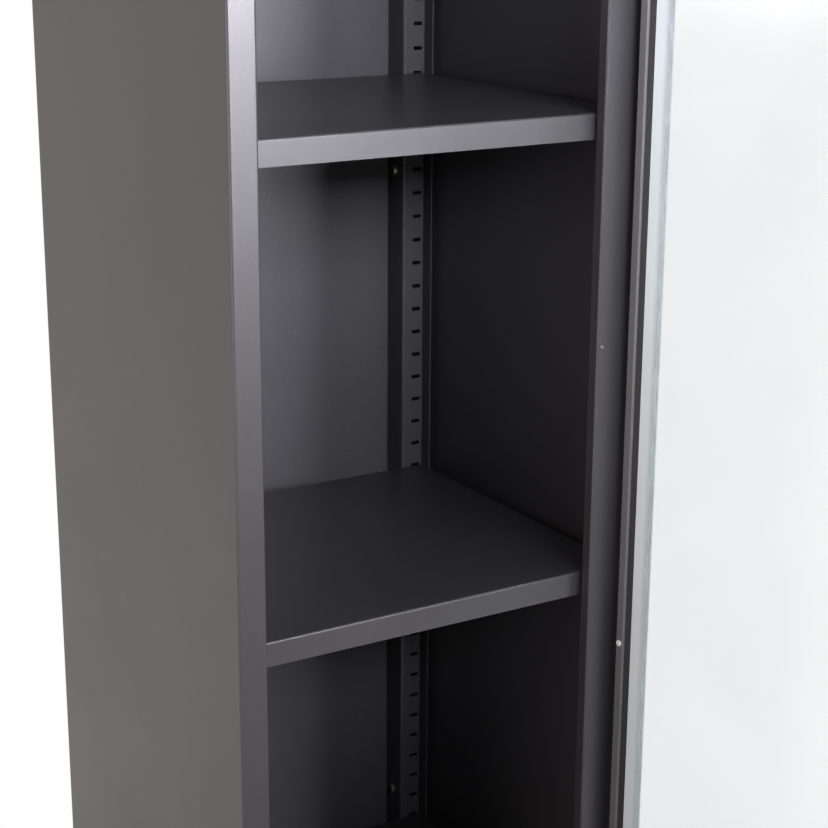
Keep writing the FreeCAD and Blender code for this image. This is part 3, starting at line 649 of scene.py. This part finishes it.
class CABINET_OT_glazing(bpy.types.Operator):
    """Etched pane, the bed under it and the wedge on it"""
    bl_idname = "cabinet.glazing"
    bl_label = "Glazing"

    def execute(self, context):
        finish = context.scene.cabinet_finish
        dress(("glass_pane",), frosted_glass("frosted_glass", finish))
        self.place = Matrix((DOOR_ALONG, UPWARD, DOOR_INWARD)).transposed().to_4x4() @ Matrix.Scale(MM, 4)
        self.bed(context.scene.cabinet_sizes)
        self.wedge(context.scene.cabinet_sizes)
        return {"FINISHED"}

    def bed(self, sizes):
        """Soft bed between the pane and the frame's outer flanges, with a lip round the flanges' edges."""
        left, right = span("glass_pane", DOOR_ALONG)
        low, high = span("glass_pane", UPWARD)
        flanges = shrunk(opening("stile", "rail"), sizes.seal_gap)
        outside = span("glass_pane", DOOR_INWARD)[0]
        deep = outside - span("glazing_gasket", DOOR_INWARD)[0]
        outer = outside - span("hinge_stile", DOOR_INWARD)[0]
        made = border("glazing_bed", (left, low, right, high), flanges, shrunk(flanges, sizes.lip_wide))
        bpy.ops.mesh.select_all(action="SELECT")
        extrude(z=-deep)
        pick("faces", lambda co: near(co.z, -deep) and within(co, flanges))
        extrude(z=deep - outer)
        bpy.ops.mesh.select_all(action="SELECT")
        bpy.ops.mesh.normals_make_consistent(inside=False)
        pick("edges", lambda co: near(co.z, -outer))
        bpy.ops.mesh.bevel(offset=sizes.lip_wide * 0.3, segments=2, profile=0.5)
        bpy.ops.object.mode_set(mode="OBJECT")
        piece = spread(made, "glazing_bed", [self.place @ Matrix.Translation((0, 0, outside))])
        settle(piece, finish_of("silicone"), "rubber", "door", "glazing_gasket")

    def wedge(self, sizes):
        """Rubber wedge pressed between the beads and the pane."""
        beads = shrunk(opening("bead", "bead"), sizes.seal_gap)
        face = span("glass_pane", DOOR_INWARD)[1] + sizes.seal_gap
        inner = shrunk(beads, sizes.wedge_wide)
        made = border("glazing_wedge", beads, inner)
        bpy.ops.mesh.select_all(action="SELECT")
        extrude(z=sizes.wedge_high)
        bpy.ops.mesh.select_all(action="SELECT")
        bpy.ops.mesh.normals_make_consistent(inside=False)
        pick("verts", lambda co: near(co.z, sizes.wedge_high) and within(co, inner))
        bpy.ops.transform.translate(value=(0, 0, -sizes.wedge_high * 0.8))
        pick("edges", lambda co: near(co.z, sizes.wedge_high))
        bpy.ops.mesh.bevel(offset=sizes.wedge_high * 0.15, segments=3, profile=0.5)
        bpy.ops.object.mode_set(mode="OBJECT")
        piece = spread(made, "glazing_wedge", [self.place @ Matrix.Translation((0, 0, face))])
        settle(piece, finish_of("rubber"), "rubber", "door")


class CABINET_OT_plain_fittings(bpy.types.Operator):
    """Plating and plastic on the clips, pins, bushes, nut and cam"""
    bl_idname = "cabinet.plain_fittings"
    bl_label = "Plain Fittings"

    def execute(self, context):
        dress(ZINC_NODES, finish_of("zinc"))
        dress(("lower_pivot_pin", "upper_pivot_pin"), finish_of("bright_steel"))
        dress(("lower_pivot_bush", "upper_pivot_bush"), finish_of("nylon"))
        return {"FINISHED"}


class CABINET_OT_upright_screws(bpy.types.Operator):
    """Pan-head screws that hold the slotted uprights"""
    bl_idname = "cabinet.upright_screws"
    bl_label = "Upright Screws"

    def execute(self, context):
        sizes = context.scene.cabinet_sizes
        head, tall = sizes.screw_head, sizes.screw_high
        recess = socket_recess(head * 0.52, tall * 0.85)
        # The drive recess takes the near-black recess finish, which is painted shade
        master = screw("upright_screw", head, tall, sizes.screw_shank, sizes.screw_long, recess, "zinc")
        places = []
        for low, high in solids("upright_screws", apart=0.02):
            middle = (low + high) / 2
            side = -1 if middle.x > 0 else 1
            tip = high.x if side > 0 else low.x
            point = Vector((tip - side * tall * MM, middle.y, middle.z))
            places.append(seat(point, Vector((side, 0, 0))) @ turned(0.6, 9, middle.z))
        settle(spread(master, "upright_screw_set", places), None, "zinc", "case", "upright_screws")
        return {"FINISHED"}


class CABINET_OT_bead_screws(bpy.types.Operator):
    """Low cross-drive heads of white nylon on the glazing beads"""
    bl_idname = "cabinet.bead_screws"
    bl_label = "Bead Screws"

    def execute(self, context):
        sizes = context.scene.cabinet_sizes
        head, high = sizes.bead_screw_head, sizes.bead_screw_high
        recess = cross_recess(head * 0.36, high * 0.6)
        shank, long = head * 0.4, high * 0.5
        master = screw("bead_screw", head, high, shank, long, recess, "white_nylon", "white_nylon")
        places = []
        for low, top in solids("bead_screws", apart=0.012):
            point = (low + top) / 2 - DOOR_INWARD * high / 2 * MM
            places.append(seat(point, DOOR_INWARD) @ turned(0.3, 7, point.z))
        settle(spread(master, "bead_screw_set", places), None, "nylon", "door", "bead_screws")
        return {"FINISHED"}


class CABINET_OT_post_rivets(bpy.types.Operator):
    """Blind rivets up the hinge post"""
    bl_idname = "cabinet.post_rivets"
    bl_label = "Post Rivets"

    def execute(self, context):
        sizes = context.scene.cabinet_sizes
        master = rivet("post_rivet", sizes.rivet_head, sizes.rivet_high)
        piece = spread(master, "post_rivet_set", on_posts(solids("post_rivets", apart=0.012)))
        settle(piece, finish_of("dull_rivet"), "bright_steel", "case", "post_rivets")
        return {"FINISHED"}


class CABINET_OT_door_buffers(bpy.types.Operator):
    """Soft round buffers that the door closes on"""
    bl_idname = "cabinet.door_buffers"
    bl_label = "Door Buffers"

    def execute(self, context):
        boxes = solids("door_buffers", apart=0.02)
        low, high = boxes[0]
        wide = (high.x - low.x) / MM
        tall = (high.y - low.y) / MM
        master = drum("door_buffer", 40, wide, tall)
        pick("edges", lambda co: near(co.z, tall / 2))
        bpy.ops.mesh.bevel(offset=tall * 0.4, segments=5, profile=0.5)
        pick("faces", lambda co: near(co.z, tall / 2))
        bpy.ops.mesh.inset(thickness=wide * 0.12)
        extrude(z=-tall * 0.15)
        leave()
        piece = spread(master, "door_buffer_set", on_posts(boxes))
        settle(piece, finish_of("rubber"), "rubber", "case", "door_buffers")
        return {"FINISHED"}


class CABINET_OT_lock(bpy.types.Operator):
    """Turn handle, its rosette and the screw behind the cam"""
    bl_idname = "cabinet.lock"
    bl_label = "Lock"

    def execute(self, context):
        self.axis = seat(Vector(LOCK["pos_m"]), -DOOR_INWARD)
        self.handle()
        self.rosette()
        self.cam_screw()
        return {"FINISHED"}

    def reach(self, node):
        """How far a node of the lock reaches inwards and outwards along the axis, in millimetres."""
        inverse = self.axis.inverted()
        heights = [(inverse @ vertex.co).z for vertex in frame["nodes"][node].data.vertices]
        return min(heights), max(heights)

    def handle(self):
        """Round hub on its spindle, with a rounded wing across it."""
        sizes = bpy.context.scene.cabinet_sizes
        low, high = self.reach("turn_handle")
        hub_low = self.reach("lock_barrel")[1] + sizes.handle_gap
        made = drum("turn_handle_cast", 56, sizes.handle_hub, sizes.handle_high, hub_low)
        half = sizes.handle_high / 2
        pick("faces", lambda co: near(co.z, -half))
        bpy.ops.mesh.inset(thickness=(sizes.handle_hub - sizes.spindle_wide) / 2)
        extrude(z=low - hub_low)
        pick("edges", lambda co: near(co.z, half) and near(co.xy.length, sizes.handle_hub / 2))
        bpy.ops.mesh.bevel(offset=sizes.hub_round, segments=4, profile=0.5)
        leave()
        wing_low = hub_low + half
        end_flat = 0.2
        top_taper = (0.72, 0.96, 1)
        wing = start("wing", bpy.ops.mesh.primitive_cube_add, size=1)
        bpy.ops.transform.resize(value=(sizes.handle_thick, sizes.handle_long, high - wing_low))
        bpy.context.tool_settings.mesh_select_mode = (False, True, False)
        bpy.ops.mesh.select_all(action="DESELECT")
        tall = (high - wing_low) / 2
        mesh = bmesh.from_edit_mesh(wing.data)
        for edge in mesh.edges:
            first, second = (vert.co for vert in edge.verts)
            edge.select_set(near(first.x, second.x) and near(first.y, second.y))
        bmesh.update_edit_mesh(wing.data)
        bpy.ops.mesh.bevel(offset=sizes.handle_thick / 2 - end_flat, segments=10, profile=0.5)
        pick("faces", lambda co: near(co.z, tall))
        bpy.ops.transform.resize(value=top_taper)
        bpy.ops.mesh.bevel(offset=sizes.wing_round, segments=4, profile=0.5)
        wing.location.z = wing_low + tall
        leave()
        combine(made, wing, "UNION")
        piece = spread(made, "turn_handle_cast", [self.axis])
        settle(piece, finish_of("handle_black"), "handle_black", "lock", "turn_handle")

    def rosette(self):
        """Barrel through the stile with a grooved rosette outside, bored for the spindle."""
        sizes = bpy.context.scene.cabinet_sizes
        low, high = self.reach("lock_barrel")
        cap = sizes.barrel_cap
        made = drum("lock_rosette", 64, sizes.barrel_rim, cap, high - cap)
        pick("faces", lambda co: near(co.z, -cap / 2))
        bpy.ops.mesh.inset(thickness=(sizes.barrel_rim - sizes.barrel_wide) / 2)
        extrude(z=low - (high - cap))
        pick("edges", lambda co: near(co.z, cap / 2))
        bpy.ops.mesh.bevel(offset=cap * 0.55, segments=5, profile=0.5)
        pick("faces", lambda co: near(co.z, cap / 2))
        bpy.ops.mesh.inset(thickness=sizes.ring_wide)
        extrude(z=-sizes.groove_deep)
        bpy.ops.mesh.inset(thickness=sizes.groove_wide)
        extrude(z=sizes.groove_deep)
        leave()
        bore_long = 4 * (high - low)
        bore = drum("bore", 40, sizes.spindle_wide + 2 * sizes.running, bore_long, -bore_long / 2)
        leave()
        combine(made, bore, "DIFFERENCE")
        piece = spread(made, "lock_rosette", [self.axis])
        settle(piece, finish_of("chrome_trim"), "chrome_trim", "door", "lock_barrel")

    def cam_screw(self):
        """Hexagon head that holds the cam on the spindle."""
        low, high = self.reach("cam_screw")
        node_low, node_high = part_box("cam_screw")
        wide = (node_high[2] - node_low[2]) / MM
        tall = high - low
        made = drum("cam_bolt", 6, wide, tall, low)
        pick("edges", lambda co: near(co.z, -tall / 2))
        bpy.ops.mesh.bevel(offset=tall * 0.2, segments=2, profile=0.5)
        pick("faces", lambda co: near(co.z, -tall / 2))
        bpy.ops.mesh.inset(thickness=wide * 0.06)
        extrude(z=tall * 0.12)
        leave()
        piece = spread(made, "cam_bolt", [self.axis])
        settle(piece, finish_of("zinc"), "zinc", "lock", "cam_screw")


class CABINET_OT_studio(bpy.types.Operator):
    """Pale floor, soft light and the camera"""
    bl_idname = "cabinet.studio"
    bl_label = "Studio"

    def execute(self, context):
        studio = context.scene.cabinet_studio
        self.floor(studio)
        self.room(context.scene, studio)
        for name in LAMPS:
            self.lamp(name, getattr(studio, f"{name}_power"), getattr(studio, f"{name}_colour"))
        self.camera(context.scene, studio)
        context.scene.view_settings.view_transform = "Standard"
        return {"FINISHED"}

    def floor(self, studio):
        """Pale floor that keeps the object's shadow and turns white further out."""
        bpy.ops.mesh.primitive_plane_add(size=studio.floor_wide)
        floor = bpy.context.object
        floor.name = "studio_floor"
        graph = new_graph("studio_floor")
        paint = graph.node("ShaderNodeBsdfDiffuse", None, {"Color": studio.floor_colour})
        shade = graph.colour(graph.reflected(), (1, 1, 1, 1), studio.mirrored_colour)
        white = graph.node("ShaderNodeEmission", None, {"Color": shade, "Strength": 1.0})
        away = graph.node("ShaderNodeVectorMath", {"operation": "LENGTH"}, {0: graph.place}, output="Value")
        seen = graph.ray("Camera").larger(graph.ray("Transmission"))
        plain = seen * (studio.floor_white + away.ramp(*FLOOR_FADE) * (1 - studio.floor_white))
        whiteness = plain.larger(graph.reflected() * away.ramp(*MIRROR_FADE) * studio.mirrored)
        mixed = graph.node("ShaderNodeMixShader", None, {0: whiteness, 1: paint, 2: white})
        floor.data.materials.append(graph.done(mixed))

    def room(self, scene, studio):
        """White where it is seen straight on or through the pane, dim ahead of the cabinet in reflections."""
        world = bpy.data.worlds.new("studio_room")
        graph = Graph(world)
        back = graph.node("ShaderNodeSeparateXYZ", None, {0: graph.place}, output="Y").ramp(*ROOM_FADE)
        mirrored = graph.reflected() * (studio.dim + back * (studio.mirrored - studio.dim))
        seen = graph.ray("Camera").larger(graph.ray("Transmission"))
        strength = seen.larger(mirrored).larger((1 - graph.ray("Glossy")) * studio.ambient)
        shade = graph.colour(graph.reflected(), (1, 1, 1, 1), studio.mirrored_colour)
        ground = graph.node("ShaderNodeBackground", None, {"Color": shade, "Strength": strength})
        scene.world = graph.done(ground, "ShaderNodeOutputWorld")

    def lamp(self, name, power, colour):
        """Soft box aimed at a point."""
        place, target, size, beam = LAMPS[name]
        bpy.ops.object.light_add(type="AREA", location=place)
        lamp = bpy.context.object
        lamp.name = f"{name}_light"
        lamp.data.shape = "RECTANGLE"
        lamp.data.size, lamp.data.size_y = size
        lamp.data.spread = math.radians(beam)
        lamp.data.energy = power
        lamp.data.color = colour[:3]
        lamp.visible_glossy = name not in UNMIRRORED
        aim = Vector(target) - Vector(place)
        lamp.rotation_euler = aim.to_track_quat("-Z", "Y").to_euler()

    def camera(self, scene, studio):
        """Camera at the front left that looks down into the open cabinet."""
        yaw, pitch, roll = studio.camera_yaw, studio.camera_pitch, studio.camera_roll
        ahead = Vector((math.sin(yaw) * math.cos(pitch), math.cos(yaw) * math.cos(pitch), -math.sin(pitch)))
        right = Vector((math.cos(yaw), -math.sin(yaw), 0))
        above = right.cross(ahead)
        rolled_right = math.cos(roll) * right + math.sin(roll) * above
        rolled_above = -math.sin(roll) * right + math.cos(roll) * above
        turn = Matrix((rolled_right, rolled_above, -ahead)).transposed()
        bpy.ops.object.camera_add(location=studio.camera_place)
        camera = bpy.context.object
        camera.name = "studio_camera"
        camera.rotation_euler = turn.to_euler()
        camera.data.sensor_width = 36.0
        camera.data.lens = studio.lens
        camera.data.clip_start = 0.01
        scene.camera = camera


STEPS = (
    CABINET_OT_painted_sheet,
    CABINET_OT_glazing,
    CABINET_OT_plain_fittings,
    CABINET_OT_upright_screws,
    CABINET_OT_bead_screws,
    CABINET_OT_post_rivets,
    CABINET_OT_door_buffers,
    CABINET_OT_lock,
    CABINET_OT_studio,
)


class CABINET_PT_panel(bpy.types.Panel):
    """Steps that dress the cabinet"""
    bl_idname = "CABINET_PT_panel"
    bl_label = "Cabinet"
    bl_space_type = "VIEW_3D"
    bl_region_type = "UI"
    bl_category = "Cabinet"

    def draw(self, context):
        for step in STEPS:
            self.layout.operator(step.bl_idname)


CLASSES = (CabinetFinish, CabinetSizes, CabinetStudio) + STEPS + (CABINET_PT_panel,)


def register():
    for item in CLASSES:
        bpy.utils.register_class(item)
    bpy.types.Scene.cabinet_finish = bpy.props.PointerProperty(type=CabinetFinish)
    bpy.types.Scene.cabinet_sizes = bpy.props.PointerProperty(type=CabinetSizes)
    bpy.types.Scene.cabinet_studio = bpy.props.PointerProperty(type=CabinetStudio)


def unregister():
    del bpy.types.Scene.cabinet_studio
    del bpy.types.Scene.cabinet_sizes
    del bpy.types.Scene.cabinet_finish
    for item in reversed(CLASSES):
        bpy.utils.unregister_class(item)


def main():
    register()
    bpy.ops.object.select_all(action="DESELECT")
    bpy.ops.cabinet.painted_sheet()
    bpy.ops.cabinet.glazing()
    bpy.ops.cabinet.plain_fittings()
    bpy.ops.cabinet.upright_screws()
    bpy.ops.cabinet.bead_screws()
    bpy.ops.cabinet.post_rivets()
    bpy.ops.cabinet.door_buffers()
    bpy.ops.cabinet.lock()
    bpy.ops.cabinet.studio()


if __name__ == "__main__":
    main()
